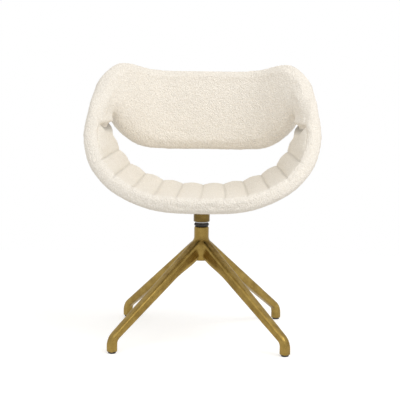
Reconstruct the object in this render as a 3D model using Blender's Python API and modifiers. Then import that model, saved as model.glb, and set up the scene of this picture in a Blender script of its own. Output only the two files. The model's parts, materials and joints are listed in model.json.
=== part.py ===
"""Swivel armchair: a ring-shaped upholstered shell that turns on a four-legged cast base.

Metres, +Z up. The origin is on the floor, on the swivel axis, and the sitter faces -Y.
"""
import math

import bmesh
import bpy
import numpy as np
from mathutils import Matrix

# Fits and facets
GAP = 0.0003                  # between pieces that touch or nest
ROUND_SIDES = 32              # facets round a turned piece
SMALL_SIDES = 12              # facets round a fastener
CHAMFER = 0.0012              # broken edges of turned pieces
CUT_PAST = 0.002              # how far a cutter runs past the faces it opens

# Feet and legs
FOOT_SPREAD = 0.240           # foot centre from the axis, along X and along Y
FOOT_WIDTH = 0.0255           # square foot
BEND_HEIGHT = 0.0437          # where a leg's top line meets the outer face of its foot
BEND_ROUNDING = 0.024         # length of the rounded bend on each side of that corner
LEG_CROWN = 0.3045            # height at which the legs' top lines meet on the axis
LEG_ROOT = 0.012              # where a leg starts, inside the neck
LEG_HUB_WIDTH = 0.034
LEG_HUB_DEPTH = 0.035
LEG_END_DEPTH = 0.0225
LEG_EDGE = 0.006              # soft edge along a leg
LEG_EDGE_STEPS = 2
BEND_STEPS = 5

# Foot glides
GLIDE_HEIGHT = 0.004
GLIDE_DIAMETER = 0.022
GLIDE_STEM_DIAMETER = 0.008
GLIDE_STEM_LENGTH = 0.012

# Neck of the base
NECK_DIAMETER = 0.044
NECK_RISE = 0.0255            # neck above the legs' crown
NECK_EDGE = 0.0025
FLARE_DROP = 0.0145           # top of the neck's flare below the legs' crown
HUB_DIAMETER = 0.056
SHOULDER_DROP = 0.0425        # foot of the flare below the legs' crown
HUB_DROP = 0.0765             # underside of the hub below the legs' crown
HUB_EDGE = 0.005
HUB_STEPS = 3                 # facets down the flare and round the lower edge
COUNTERBORE_DEPTH = 0.010

# Swivel bearing
SPINDLE_DIAMETER = 0.025
BUSH_WALL = 0.0042
BUSH_LENGTH = 0.030
THRUST_DIAMETER = 0.037
RING_DIAMETER = 0.0435
RING_HEIGHT = 0.0097
RING_EDGE = 0.0025
END_WASHER_DIAMETER = 0.040
END_WASHER_THICKNESS = 0.002
CIRCLIP_DIAMETER = 0.032
CIRCLIP_THICKNESS = 0.0015
CIRCLIP_OPENING = 0.005
GROOVE_DEPTH = 0.001
SPINDLE_TAIL = 0.003          # shaft below the circlip

# Column under the seat
COLLAR_DIAMETER = 0.038       # upper part of the spindle, seen in the reveal
REVEAL = 0.0037               # open band between the seal ring and the sleeve
SLEEVE_DIAMETER = 0.048
SLEEVE_LENGTH = 0.0462
PLATE_SIDE = 0.140
PLATE_CORNER = 0.020
PLATE_THICKNESS = 0.005

# Fixings of the seat plate
BOLT_SPACING = 0.084
BOLT_DIAMETER = 0.008
BOLT_HEAD_ACROSS = 0.0145
BOLT_HEAD_HEIGHT = 0.0053
BOLT_TIP = 0.001              # bolt end above its tee nut
BOLT_FLANGE_DIAMETER = 0.0175
BOLT_FLANGE_THICKNESS = 0.0016
TEE_FLANGE_DIAMETER = 0.020
TEE_FLANGE_THICKNESS = 0.0015
TEE_BARREL_DIAMETER = 0.011
TEE_BARREL_SHORT = 0.001      # barrel end above the core's lower face
BLOCK_DIAMETER = 0.150
BLOCK_SIDES = 20

# Upholstered shell
SHELL_SET = -0.007            # how far the stations' origin stands behind the swivel axis
SHELL_HALF = 0.021            # half thickness of the upholstery, apart from the full arms
CORE_HALF = 0.004             # half thickness of the moulded core
CORE_EDGE = 0.004             # core edge inside the slot and rim lines
HEM = 0.012                   # width of the pads' turn-under along the slot
SEAM_GAP = 0.0009             # open seam between the rim cover and the pads, and between the pads
FLOOR_BLEND = 0.003           # rounding of the flat seat floor into the bowl
TWIST_SHARE = 0.4             # how far the thickness turns with the slot edge and the rim edge
PAD_SPLIT = 6.15              # loop place, in stations, where seat pad and back pad meet
BACK_STEPS = 15               # sections from the middle of the back to the split
BACK_CROWN = 0.005            # how far the back pad swells in its middle
CHANNEL_PITCH = 0.066         # sewn channels, along the seat's rear edge
CHANNEL_DEPTH = 0.005
CHANNEL_FADE = 0.25           # share of the pad's length over which a seam rises to the front roll
CHANNEL_STEPS = 3             # sections from one seam to the next
LIP = 0.003                   # how far the back pad stands proud where it meets the seat pad
ARM_DIP = 0.011               # how far the seat pad lies back beside that lip
ARM_DIP_REACH = 1.2           # loop length of the dip, in stations

# The shell is a closed ring between two loops: the slot behind the sitter's hips and the outer rim.
# Each station gives the slot edge and the rim edge (x, y and height over the seat floor), the extra
# fullness of the rim roll, the bow of the section toward the sitter, the width of the rim cover and
# how far the cover's sewn border draws the surface in.
STATIONS = (
    # back centre and back quarter
    ((0.000, 0.232, 0.1480), (0.000, 0.280, 0.3635), 0.000, 0.000, 0.018, 0.000),
    ((0.120, 0.225, 0.1485), (0.155, 0.264, 0.3645), 0.001, 0.000, 0.018, 0.000),
    # ear and wing
    ((0.200, 0.200, 0.1590), (0.256, 0.205, 0.3785), 0.007, 0.005, 0.018, 0.000),
    ((0.252, 0.155, 0.1970), (0.304, 0.150, 0.3420), 0.005, 0.014, 0.018, 0.000),
    # arm, round the end of the slot
    ((0.279, 0.115, 0.2405), (0.316, 0.094, 0.3000), 0.003, 0.014, 0.018, 0.000),
    ((0.288, 0.083, 0.2515), (0.323, 0.030, 0.2680), 0.001, 0.008, 0.018, 0.001),
    ((0.290, 0.052, 0.2235), (0.326, -0.036, 0.2185), 0.000, 0.000, 0.018, 0.002),
    ((0.287, 0.066, 0.1775), (0.319, -0.102, 0.1655), 0.000, 0.000, 0.016, 0.003),
    # side of the seat
    ((0.268, 0.108, 0.1235), (0.290, -0.172, 0.1045), 0.000, -0.004, 0.014, 0.003),
    ((0.218, 0.148, 0.0635), (0.228, -0.226, 0.0495), 0.000, -0.010, 0.012, 0.002),
    # front quarter and front centre
    ((0.122, 0.188, 0.0190), (0.126, -0.257, 0.0105), 0.000, -0.016, 0.010, 0.001),
    ((0.000, 0.205, 0.0060), (0.000, -0.267, 0.0025), 0.000, -0.020, 0.010, 0.001),
)

# Levels of the column, from the floor up
foot_bottom = GLIDE_HEIGHT + GAP
neck_top = LEG_CROWN + NECK_RISE
flare_top = LEG_CROWN - FLARE_DROP
hub_shoulder = LEG_CROWN - SHOULDER_DROP
hub_bottom = LEG_CROWN - HUB_DROP
counterbore_top = hub_bottom + COUNTERBORE_DEPTH
ring_bottom = neck_top + GAP
ring_top = ring_bottom + RING_HEIGHT
thrust_top = ring_top + GAP
collar_bottom = thrust_top + GAP
sleeve_bottom = ring_top + REVEAL
sleeve_top = sleeve_bottom + SLEEVE_LENGTH
plate_bottom = sleeve_top + GAP
plate_top = plate_bottom + PLATE_THICKNESS
cover_bottom = plate_top + GAP
seat_floor = cover_bottom + SHELL_HALF
core_bottom = seat_floor - CORE_HALF
core_top = seat_floor + CORE_HALF
block_top = core_bottom - GAP
tee_top = core_top + GAP + TEE_FLANGE_THICKNESS
neck_bore = SPINDLE_DIAMETER + 2 * BUSH_WALL + 4 * GAP
front_centre = len(STATIONS) - 1


def empty_scene():
    for item in list(bpy.data.objects):
        bpy.data.objects.remove(item, do_unlink=True)


def new_collection(name):
    group = bpy.data.collections.new(name)
    bpy.context.scene.collection.children.link(group)
    return group


def new_material(name, colour, roughness, metallic):
    finish = bpy.data.materials.new(name)
    finish.use_nodes = True
    shader = finish.node_tree.nodes["Principled BSDF"]
    shader.inputs["Base Color"].default_value = (*colour, 1.0)
    shader.inputs["Roughness"].default_value = roughness
    shader.inputs["Metallic"].default_value = metallic
    return finish


def smooth(mesh):
    mesh.shade_smooth()
    mesh.set_sharp_from_angle(angle=math.radians(35))


def add_part(name, mesh, finish, parent, location=(0, 0, 0)):
    part = bpy.data.objects.new(name, mesh)
    part.location = location
    part.parent = parent
    mesh.materials.append(finish)
    parts.objects.link(part)
    return part


def add_cutter(name, mesh, location=(0, 0, 0)):
    cutter = bpy.data.objects.new(name, mesh)
    cutter.location = location
    cutter.hide_render = True
    cutter.display_type = "WIRE"
    cutters.objects.link(cutter)
    return cutter


def combine(part, cutter, operation):
    step = part.modifiers.new(cutter.name, "BOOLEAN")
    step.solver = "EXACT"
    step.operation = operation
    step.object = cutter


def evaluated_mesh(holder, name):
    """Mesh of a helper object with its modifiers applied. The helper is removed."""
    bpy.context.view_layer.update()
    evaluated = holder.evaluated_get(bpy.context.evaluated_depsgraph_get())
    mesh = bpy.data.meshes.new_from_object(evaluated)
    mesh.name = name
    bpy.data.objects.remove(holder, do_unlink=True)
    return mesh


def turned_mesh(name, profile, sides, closed=False):
    """A profile of (radius, height) points, outer side downward, turned about Z."""
    points = [(radius, 0, height) for radius, height in profile]
    edges = [(i, i + 1) for i in range(len(points) - 1)]
    if closed:
        edges.append((len(points) - 1, 0))
    line = bpy.data.meshes.new(name + "_profile")
    line.from_pydata(points, edges, [])
    holder = bpy.data.objects.new(name + "_profile", line)
    bpy.context.scene.collection.objects.link(holder)
    screw = holder.modifiers.new("turn", "SCREW")
    screw.steps = sides
    screw.render_steps = sides
    screw.use_merge_vertices = True
    screw.merge_threshold = 0.00001
    mesh = evaluated_mesh(holder, name)
    bpy.data.meshes.remove(line)
    smooth(mesh)
    return mesh


def ring_profile(outer, inner, height, edge):
    """Section of a ring that stands on z = 0, with broken outer edges."""
    return [(outer / 2 - edge, height), (outer / 2, height - edge), (outer / 2, edge), (outer / 2 - edge, 0),
            (inner / 2, 0), (inner / 2, height)]


def washer_profile(outer, inner, height):
    """Section of a ring that stands on z = 0, with plain edges."""
    return [(outer / 2, height), (outer / 2, 0), (inner / 2, 0), (inner / 2, height)]


def rod_profile(diameter, height):
    return [(0, height), (diameter / 2, height), (diameter / 2, 0), (0, 0)]


def repeated(mesh, places):
    """One mesh holding a copy of the given mesh at each named place."""
    bm = bmesh.new()
    for _, place in places:
        before = len(bm.verts)
        bm.from_mesh(mesh)
        bm.verts.ensure_lookup_table()
        bmesh.ops.translate(bm, verts=bm.verts[before:], vec=place)
    group = bpy.data.meshes.new(mesh.name + "_group")
    bm.to_mesh(group)
    bm.free()
    return group


def box_mesh(name, size):
    bm = bmesh.new()
    bmesh.ops.create_cube(bm, size=1)
    bmesh.ops.scale(bm, vec=size, verts=bm.verts)
    mesh = bpy.data.meshes.new(name)
    bm.to_mesh(mesh)
    bm.free()
    return mesh


def loft_mesh(name, rings, leans, closed):
    """Skin over folded rings of equal count. An open loft is closed by strips across its end rings.

    Every four-sided patch is split the same way across the band, seen along the ring's lean, so that
    the facets of nested skins lie parallel.
    """
    bm = bmesh.new()
    lines = [[bm.verts.new(point) for point in ring] for ring in rings]
    count = len(lines[0])
    following = lines[1:] + lines[:1] if closed else lines[1:]
    for ring, lean, here, there in zip(rings, leans, lines, following):
        for i in range(count):
            j = (i + 1) % count
            if np.dot(ring[j] - ring[i], lean) < 0:
                bm.faces.new((here[i], here[j], there[j]))
                bm.faces.new((here[i], there[j], there[i]))
            else:
                bm.faces.new((here[i], here[j], there[i]))
                bm.faces.new((here[j], there[j], there[i]))
    if not closed:
        for ring in (lines[0], lines[-1]):
            for i in range(count // 2 - 1):
                bm.faces.new((ring[i], ring[i + 1], ring[count - 2 - i], ring[count - 1 - i]))
    bmesh.ops.recalc_face_normals(bm, faces=bm.faces)
    mesh = bpy.data.meshes.new(name)
    bm.to_mesh(mesh)
    bm.free()
    smooth(mesh)
    return mesh


# Cast base

def bend_curve(before, corner, after, steps):
    """Points of a quadratic bend from one straight to the next."""
    before, corner, after = np.array(before), np.array(corner), np.array(after)
    curve = []
    for i in range(steps + 1):
        u = i / steps
        curve.append((1 - u) ** 2 * before + 2 * u * (1 - u) * corner + u ** 2 * after)
    return curve


def leg_outline():
    """Upper and lower line of a leg in its own plane, as (distance from the axis, height) points."""
    foot_centre = FOOT_SPREAD * math.sqrt(2)
    foot_outer = foot_centre + FOOT_WIDTH / 2
    foot_inner = foot_centre - FOOT_WIDTH / 2
    slope = (LEG_CROWN - BEND_HEIGHT) / foot_outer
    along = np.array((1, -slope)) / math.hypot(1, slope)
    down = np.array((along[1], -along[0]))

    def top(radius):
        return np.array((radius, LEG_CROWN - slope * radius))

    upper_corner = top(foot_outer)
    bend_start = upper_corner - along * BEND_ROUNDING
    lower_start = bend_start + down * LEG_END_DEPTH
    lower_corner = lower_start + along * (foot_inner - lower_start[0]) / along[0]
    lower_reach = foot_inner - lower_start[0]
    upper = [top(LEG_ROOT), top(LEG_HUB_WIDTH)]
    lower = [top(LEG_ROOT) - (0, LEG_HUB_DEPTH), top(LEG_HUB_WIDTH) + down * LEG_HUB_DEPTH]
    upper += bend_curve(bend_start, upper_corner, upper_corner - (0, BEND_ROUNDING), BEND_STEPS)
    lower += bend_curve(lower_start, lower_corner, lower_corner - (0, lower_reach), BEND_STEPS)
    upper.append(np.array((foot_outer, foot_bottom)))
    lower.append(np.array((foot_inner, foot_bottom)))
    return upper, lower


def leg_section(high, low, width, turn):
    """Rounded rectangle between an upper and a lower point of the leg, turned to the leg's direction."""
    middle = (high + low) / 2
    depth = np.linalg.norm(high - low)
    rise = (high - low) / depth
    section = []
    for quarter in range(4):
        side = 1 if quarter in (0, 3) else -1
        level = 1 if quarter in (0, 1) else -1
        for i in range(LEG_EDGE_STEPS + 1):
            angle = math.pi / 2 * (quarter + i / LEG_EDGE_STEPS)
            across = side * (width / 2 - LEG_EDGE) + LEG_EDGE * math.cos(angle)
            up = level * (depth / 2 - LEG_EDGE) + LEG_EDGE * math.sin(angle)
            radius, height = middle + rise * up
            point = (radius * math.cos(turn) - across * math.sin(turn),
                     radius * math.sin(turn) + across * math.cos(turn), height)
            section.append(point)
    return section


def leg_mesh(turn):
    upper, lower = leg_outline()
    reach = upper[-1][0] - upper[0][0]
    rings = []
    for high, low in zip(upper, lower):
        share = min(1, (high[0] - upper[0][0]) / reach)
        width = LEG_HUB_WIDTH + (FOOT_WIDTH - LEG_HUB_WIDTH) * share
        rings.append(leg_section(high, low, width, turn))
    bm = bmesh.new()
    lines = [[bm.verts.new(point) for point in ring] for ring in rings]
    count = len(lines[0])
    for here, there in zip(lines, lines[1:]):
        for i in range(count):
            bm.faces.new((here[i], here[(i + 1) % count], there[(i + 1) % count], there[i]))
    bm.faces.new(lines[0])
    bm.faces.new(lines[-1])
    bmesh.ops.recalc_face_normals(bm, faces=bm.faces)
    mesh = bpy.data.meshes.new("leg")
    bm.to_mesh(mesh)
    bm.free()
    return mesh


def make_star_base():
    neck = NECK_DIAMETER / 2
    hub = HUB_DIAMETER / 2
    flare_middle = (flare_top + hub_shoulder) / 2
    profile = [(0, neck_top), (neck - NECK_EDGE, neck_top), (neck, neck_top - NECK_EDGE)]
    profile += bend_curve((neck, flare_top), (neck, flare_middle), (hub, hub_shoulder), HUB_STEPS)
    profile += bend_curve((hub, hub_bottom + HUB_EDGE), (hub, hub_bottom), (hub - HUB_EDGE, hub_bottom), HUB_STEPS)
    profile.append((0, hub_bottom))
    base = add_part("star_base", turned_mesh("star_base", profile, ROUND_SIDES), brass, base_body)
    for i in range(4):
        turn = math.pi / 4 + i * math.pi / 2
        combine(base, add_cutter(f"leg_{i + 1}", leg_mesh(turn)), "UNION")
    bore_top, bore_end = neck_top + CUT_PAST, hub_bottom - CUT_PAST
    counterbore = END_WASHER_DIAMETER / 2 + GAP
    bore = [(0, bore_top), (neck_bore / 2, bore_top), (neck_bore / 2, counterbore_top),
            (counterbore, counterbore_top), (counterbore, bore_end), (0, bore_end)]
    combine(base, add_cutter("neck_bore", turned_mesh("neck_bore", bore, ROUND_SIDES)), "DIFFERENCE")
    socket_height = GLIDE_HEIGHT + GLIDE_STEM_LENGTH + GAP
    socket = turned_mesh("glide_socket", rod_profile(GLIDE_STEM_DIAMETER + 2 * GAP, socket_height), SMALL_SIDES)
    sockets = add_cutter("glide_sockets", repeated(socket, corner_places(FOOT_SPREAD)))
    combine(base, sockets, "DIFFERENCE")


def corner_places(half):
    """Names and places of the four corners of a square about the axis."""
    places = []
    for end, y in (("front", -half), ("rear", half)):
        for side, x in (("left", -half), ("right", half)):
            places.append((f"{end}_{side}", (x, y, 0)))
    return places


def make_glides():
    disc = GLIDE_DIAMETER / 2
    stem = GLIDE_STEM_DIAMETER / 2
    profile = [
        (0, GLIDE_HEIGHT + GLIDE_STEM_LENGTH), (stem, GLIDE_HEIGHT + GLIDE_STEM_LENGTH), (stem, GLIDE_HEIGHT),
        (disc, GLIDE_HEIGHT), (disc, CHAMFER), (disc - CHAMFER, 0), (0, 0),
    ]
    mesh = turned_mesh("foot_glide", profile, SMALL_SIDES)
    mesh.materials.append(nylon)
    for corner, place in corner_places(FOOT_SPREAD):
        glide = bpy.data.objects.new("foot_glide_" + corner, mesh)
        glide.location = place
        glide.parent = base_body
        parts.objects.link(glide)


def make_bearings():
    bush_outer = neck_bore - 2 * GAP
    bush_inner = SPINDLE_DIAMETER + 2 * GAP
    bush = washer_profile(bush_outer, bush_inner, BUSH_LENGTH)
    for name, bottom in (("neck_lower_bush", counterbore_top), ("neck_upper_bush", neck_top - BUSH_LENGTH)):
        add_part(name, turned_mesh(name, bush, ROUND_SIDES, True), acetal, base_body, (0, 0, bottom))
    thrust = washer_profile(THRUST_DIAMETER, bush_inner, thrust_top - ring_bottom)
    add_part("thrust_washer", turned_mesh("thrust_washer", thrust, ROUND_SIDES, True), bronze, base_body,
             (0, 0, ring_bottom))
    seal = ring_profile(RING_DIAMETER, THRUST_DIAMETER + 2 * GAP, RING_HEIGHT, RING_EDGE)
    add_part("dust_seal_ring", turned_mesh("dust_seal_ring", seal, ROUND_SIDES, True), rubber, base_body,
             (0, 0, ring_bottom))


# Spindle and column

def make_spindle():
    collar = COLLAR_DIAMETER / 2
    shaft = SPINDLE_DIAMETER / 2
    washer_bottom = counterbore_top - GAP - END_WASHER_THICKNESS
    groove_top = washer_bottom
    groove_bottom = groove_top - CIRCLIP_THICKNESS - 2 * GAP
    end = groove_bottom - SPINDLE_TAIL
    groove = shaft - GROOVE_DEPTH
    profile = [
        (0, sleeve_top), (collar, sleeve_top), (collar, collar_bottom), (shaft, collar_bottom),
        (shaft, groove_top), (groove, groove_top), (groove, groove_bottom), (shaft, groove_bottom),
        (shaft, end + CHAMFER), (shaft - CHAMFER, end), (0, end),
    ]
    add_part("swivel_spindle", turned_mesh("swivel_spindle", profile, ROUND_SIDES), steel, seat_body)
    washer = washer_profile(END_WASHER_DIAMETER, SPINDLE_DIAMETER + 2 * GAP, END_WASHER_THICKNESS)
    add_part("spindle_end_washer", turned_mesh("spindle_end_washer", washer, ROUND_SIDES, True), steel, seat_body,
             (0, 0, washer_bottom))
    clip = washer_profile(CIRCLIP_DIAMETER, 2 * (groove + GAP), CIRCLIP_THICKNESS)
    circlip = add_part("spindle_circlip", turned_mesh("spindle_circlip", clip, ROUND_SIDES, True), steel,
                       seat_body, (0, 0, groove_bottom + GAP))
    opening_size = (CIRCLIP_OPENING, CIRCLIP_DIAMETER, 2 * (CIRCLIP_THICKNESS + CUT_PAST))
    opening_place = (0, -CIRCLIP_DIAMETER / 2, groove_bottom)
    combine(circlip, add_cutter("circlip_opening", box_mesh("circlip_opening", opening_size), opening_place),
            "DIFFERENCE")


def make_sleeve():
    profile = ring_profile(SLEEVE_DIAMETER, COLLAR_DIAMETER + 2 * GAP, SLEEVE_LENGTH, CHAMFER)
    add_part("column_sleeve", turned_mesh("column_sleeve", profile, ROUND_SIDES, True), brass, seat_body,
             (0, 0, sleeve_bottom))


# Seat plate and its fixings

def rods(name, diameter, bottom, top):
    """A group of four upright rods on the bolt pattern."""
    rod = turned_mesh(name, rod_profile(diameter, top - bottom), SMALL_SIDES)
    rod.transform(Matrix.Translation((0, 0, bottom)))
    return repeated(rod, corner_places(BOLT_SPACING / 2))


def make_seat_plate():
    bm = bmesh.new()
    bmesh.ops.create_cube(bm, size=1)
    bmesh.ops.scale(bm, vec=(PLATE_SIDE, PLATE_SIDE, PLATE_THICKNESS), verts=bm.verts)
    upright = [edge for edge in bm.edges if abs(edge.verts[0].co.z - edge.verts[1].co.z) > PLATE_THICKNESS / 2]
    bmesh.ops.bevel(bm, geom=upright, offset=PLATE_CORNER, segments=5, profile=0.5, affect="EDGES")
    mesh = bpy.data.meshes.new("seat_plate")
    bm.to_mesh(mesh)
    bm.free()
    plate = add_part("seat_plate", mesh, dark_steel, seat_body, (0, 0, (plate_bottom + plate_top) / 2))
    block_profile = rod_profile(BLOCK_DIAMETER, block_top - cover_bottom)
    block = add_part("mount_block", turned_mesh("mount_block", block_profile, BLOCK_SIDES), plywood, seat_body,
                     (0, 0, cover_bottom))
    hole_bottom = plate_bottom - CUT_PAST
    holes = add_cutter("bolt_holes", rods("bolt_hole", BOLT_DIAMETER + 2 * GAP, hole_bottom, core_bottom))
    combine(plate, holes, "DIFFERENCE")
    combine(block, holes, "DIFFERENCE")


def bolt_mesh(length):
    """Flanged hexagon bolt whose shank stands on z = 0 with its flange and head below."""
    shank = BOLT_DIAMETER / 2
    flange = BOLT_FLANGE_DIAMETER / 2
    profile = [(0, length), (shank, length), (shank, 0), (flange, 0), (flange, -BOLT_FLANGE_THICKNESS),
               (0, -BOLT_FLANGE_THICKNESS)]
    holder = bpy.data.objects.new("bolt", turned_mesh("bolt", profile, SMALL_SIDES))
    bpy.context.scene.collection.objects.link(holder)
    bm = bmesh.new()
    corner = BOLT_HEAD_ACROSS / math.sqrt(3)
    bmesh.ops.create_cone(bm, cap_ends=True, segments=6, radius1=corner, radius2=corner, depth=BOLT_HEAD_HEIGHT)
    head = bpy.data.meshes.new("bolt_head")
    bm.to_mesh(head)
    bm.free()
    combine(holder, add_cutter("bolt_head", head, (0, 0, -BOLT_HEAD_HEIGHT / 2)), "UNION")
    return evaluated_mesh(holder, "mounting_bolt")


def add_four(name, mesh, finish, bottom):
    """A copy of a fastener at each bolt place. The copies share one mesh."""
    mesh.materials.append(finish)
    for corner, (x, y, _) in corner_places(BOLT_SPACING / 2):
        fastener = bpy.data.objects.new(f"{name}_{corner}", mesh)
        fastener.location = (x, y, bottom)
        fastener.parent = seat_body
        parts.objects.link(fastener)


def make_fixings():
    head_top = plate_bottom - GAP
    add_four("mounting_bolt", bolt_mesh(tee_top + BOLT_TIP - head_top), zinc, head_top)
    flange = TEE_FLANGE_DIAMETER / 2
    barrel = TEE_BARREL_DIAMETER / 2
    bore = BOLT_DIAMETER / 2 + GAP
    flange_bottom = core_top + GAP
    barrel_bottom = core_bottom + TEE_BARREL_SHORT
    tee = [(flange, tee_top), (flange, flange_bottom), (barrel, flange_bottom), (barrel, barrel_bottom),
           (bore, barrel_bottom), (bore, tee_top)]
    add_four("tee_nut", turned_mesh("tee_nut", tee, SMALL_SIDES, True), zinc, 0)


# Upholstered shell

def unit(vector):
    return vector / np.linalg.norm(vector)


def loop_points(values):
    """Values of the right-hand stations continued over the mirrored left-hand ones."""
    right = np.array(values, float)
    left = right[-2:0:-1].copy()
    if right.ndim > 1:
        left[:, 0] *= -1
    return np.concatenate((right, left))


def curve_at(points, place):
    """Smooth closed curve through the points, at a place counted in stations."""
    count = len(points)
    start = math.floor(place)
    u = place - start
    a, b, c, d = (points[(start + i) % count] for i in (-1, 0, 1, 2))
    return 0.5 * (2 * b + (c - a) * u + (2 * a - 5 * b + 4 * c - d) * u ** 2 + (3 * b - a - 3 * c + d) * u ** 3)


def line_at(values, place):
    count = len(values)
    start = math.floor(place)
    return values[start % count] + (values[(start + 1) % count] - values[start % count]) * (place - start)


slot_loop = loop_points([station[0] for station in STATIONS])
rim_loop = loop_points([station[1] for station in STATIONS])
rim_fullness = loop_points([station[2] for station in STATIONS])
section_bow = loop_points([station[3] for station in STATIONS])
rim_cover_width = loop_points([station[4] for station in STATIONS])
border_depth = loop_points([station[5] for station in STATIONS])


class Section:
    """Cross-section of the shell at one place of the loop. s runs from -1 at the slot to 1 at the rim."""

    def __init__(self, place):
        step = 0.01
        self.place = place
        slot, rim = curve_at(slot_loop, place), curve_at(rim_loop, place)
        slot_run = curve_at(slot_loop, place + step) - curve_at(slot_loop, place - step)
        rim_run = curve_at(rim_loop, place + step) - curve_at(rim_loop, place - step)
        self.centre, self.half_width = (slot + rim) / 2, (rim - slot) / 2
        self.centre_run, self.width_run = (slot_run + rim_run) / 2, (rim_run - slot_run) / 2
        self.inward = unit(np.cross(self.centre_run, self.half_width))
        self.lean = unit(self.half_width) + self.inward / 2
        self.bow = curve_at(section_bow, place)
        self.fullness = line_at(rim_fullness, place)
        self.border_depth = line_at(border_depth, place)
        reach = np.linalg.norm(self.half_width)
        self.core_end = 1 - CORE_EDGE / reach
        self.hem_end = -1 + HEM / reach
        self.cover_end = 1 - line_at(rim_cover_width, place) / reach
        self.seam = SEAM_GAP / 2 / reach
        self.stops = [self.hem_end + (self.cover_end - self.hem_end) * i / 4 for i in range(5)]

    def axes(self, s):
        """Point of the middle surface, the direction toward the sitter and the direction along the section."""
        point = self.centre + self.half_width * s + self.inward * self.bow * (1 - s * s)
        along = unit(self.half_width - self.inward * self.bow * 2 * s)
        run = unit(self.centre_run + self.width_run * s * TWIST_SHARE)
        inward = unit(np.cross(run, along))
        over = point[2] / FLOOR_BLEND
        tilt = min(1, max(0, (over + 1) / 2))
        if over < 1:
            point[2] = FLOOR_BLEND * tilt ** 2
        inward = unit(inward * tilt + np.array((0, 0, 1 - tilt)))
        return point + np.array((0, SHELL_SET, seat_floor)), inward, along

    def half(self, s):
        return SHELL_HALF + self.fullness * (1 + s) / 2

    def at(self, s, offset):
        point, inward, _ = self.axes(s)
        return point + inward * offset

    def edge(self, s, angle, radius):
        """Point of a rounded edge about s = -1 or 1, from the inner face (0) to the outer face (pi)."""
        point, inward, along = self.axes(s)
        return point + inward * radius * math.cos(angle) + along * s * radius * math.sin(angle)

    def core_corner(self, s, offset):
        """Corner of the core's bed, a gap beyond the core's edge."""
        point, inward, along = self.axes(s)
        return point + inward * offset + along * math.copysign(GAP, s)


def folded(surface, bed):
    """One ring of points: out along the surface and back along the core's bed."""
    return surface + bed[::-1]


def core_ring(section):
    stops = [section.core_end, *section.stops[::-1], -section.core_end]
    top = [section.at(s, CORE_HALF) for s in stops]
    bottom = [section.at(s, -CORE_HALF) for s in stops]
    return folded(top, bottom)


def cover_ring(section):
    bed = CORE_HALF + GAP
    rim = section.half(1)
    border, hem = section.cover_end + section.seam, section.hem_end + section.seam
    outer_stops = [section.cover_end, *section.stops[3:0:-1], hem]
    surface = [section.at(border, section.half(border) - section.border_depth)]
    surface += [section.edge(1, math.pi * i / 3, rim) for i in range(4)]
    surface += [section.at(s, -section.half(s)) for s in outer_stops[1:]]
    under = [section.at(border, bed)]
    under += [section.core_corner(section.core_end, offset) for offset in (bed, -bed)]
    under += [section.at(s, -bed) for s in outer_stops]
    return folded(surface, under)


def pad_ring(section, crown, draw):
    """Inner pad: its face, the turned-under slot edge and the bed on the core."""
    bed = CORE_HALF + GAP
    border, hem = section.cover_end - section.seam, section.hem_end - section.seam
    slot = section.half(-1) - draw
    face_stops = section.stops[3::-1]
    surface = [section.at(border, section.half(border) - section.border_depth)]
    for i, s in enumerate(face_stops):
        swell = crown * math.sin(math.pi * (i + 1) / (len(face_stops) + 1))
        share = (i + 1) / len(face_stops)
        surface.append(section.at(s, section.half(s) + swell - draw * share))
    surface += [section.edge(-1, math.pi * i / 3, slot) for i in range(4)]
    surface += [section.at(hem, -section.half(hem))]
    under = [section.at(border, bed)]
    under += [section.at(s, bed) for s in face_stops]
    under += [section.at(-section.core_end, bed)]
    under += [section.core_corner(-section.core_end, offset) for offset in (bed, -bed)]
    under += [section.at(-section.core_end, -bed), section.at(hem, -bed)]
    return folded(surface, under)


def channel_places():
    """Loop places from the middle of the front to the pads' split: each seam and two steps to the next."""
    table = np.linspace(front_centre, PAD_SPLIT, 400)
    edge = np.array([curve_at(slot_loop, place) for place in table])
    length = np.concatenate(((0,), np.cumsum(np.linalg.norm(np.diff(edge, axis=0), axis=1))))
    seam_count = int(length[-1] / CHANNEL_PITCH - 0.5)
    seams = [i * CHANNEL_PITCH for i in range(seam_count + 1)] + [length[-1]]
    lengths = [seams[0]]
    for here, there in zip(seams, seams[1:]):
        lengths += [here + (there - here) * (i + 1) / CHANNEL_STEPS for i in range(CHANNEL_STEPS)]
    return list(np.interp(lengths, length, table))


def mirrored(places):
    return [2 * front_centre - place for place in places]


def draw_in(ring, section, depth):
    """Pull the pad's face and slot edge in by a sewn channel that fades toward the front roll."""
    face_count = len(section.stops) - 1
    drawn = list(ring)
    for i in range(1, face_count + 3):
        fade = min(1, i / face_count / CHANNEL_FADE) if i < face_count else 1
        s = section.stops[face_count - i] if i <= face_count else -1
        _, inward, along = section.axes(s)
        angle = max(0, i - face_count - 1) * math.pi / 3
        drawn[i] = ring[i] - (inward * math.cos(angle) - along * math.sin(angle)) * depth * fade
    return drawn


def arm_dip(place):
    """How far the seat pad lies back beside the back pad's lip, fading down the arm."""
    from_split = front_centre - PAD_SPLIT - abs(place - front_centre)
    return ARM_DIP * max(0, 1 - from_split / ARM_DIP_REACH) ** 2


def seat_pad_rings(sections):
    """Rings over the channels, drawn in at each seam."""
    rings = [pad_ring(section, 0, arm_dip(section.place)) for section in sections]
    for i in range(0, len(rings), CHANNEL_STEPS):
        rings[i] = draw_in(rings[i], sections[i], CHANNEL_DEPTH)
    return rings


def set_back(ring, neighbour):
    """End ring of a pad, moved toward its neighbour to leave half of the seam between the two pads."""
    steps = [there - here for here, there in zip(ring, neighbour)]
    shortest = min(np.linalg.norm(step) for step in steps)
    return [here + step * SEAM_GAP / 2 / shortest for here, step in zip(ring, steps)]


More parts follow.
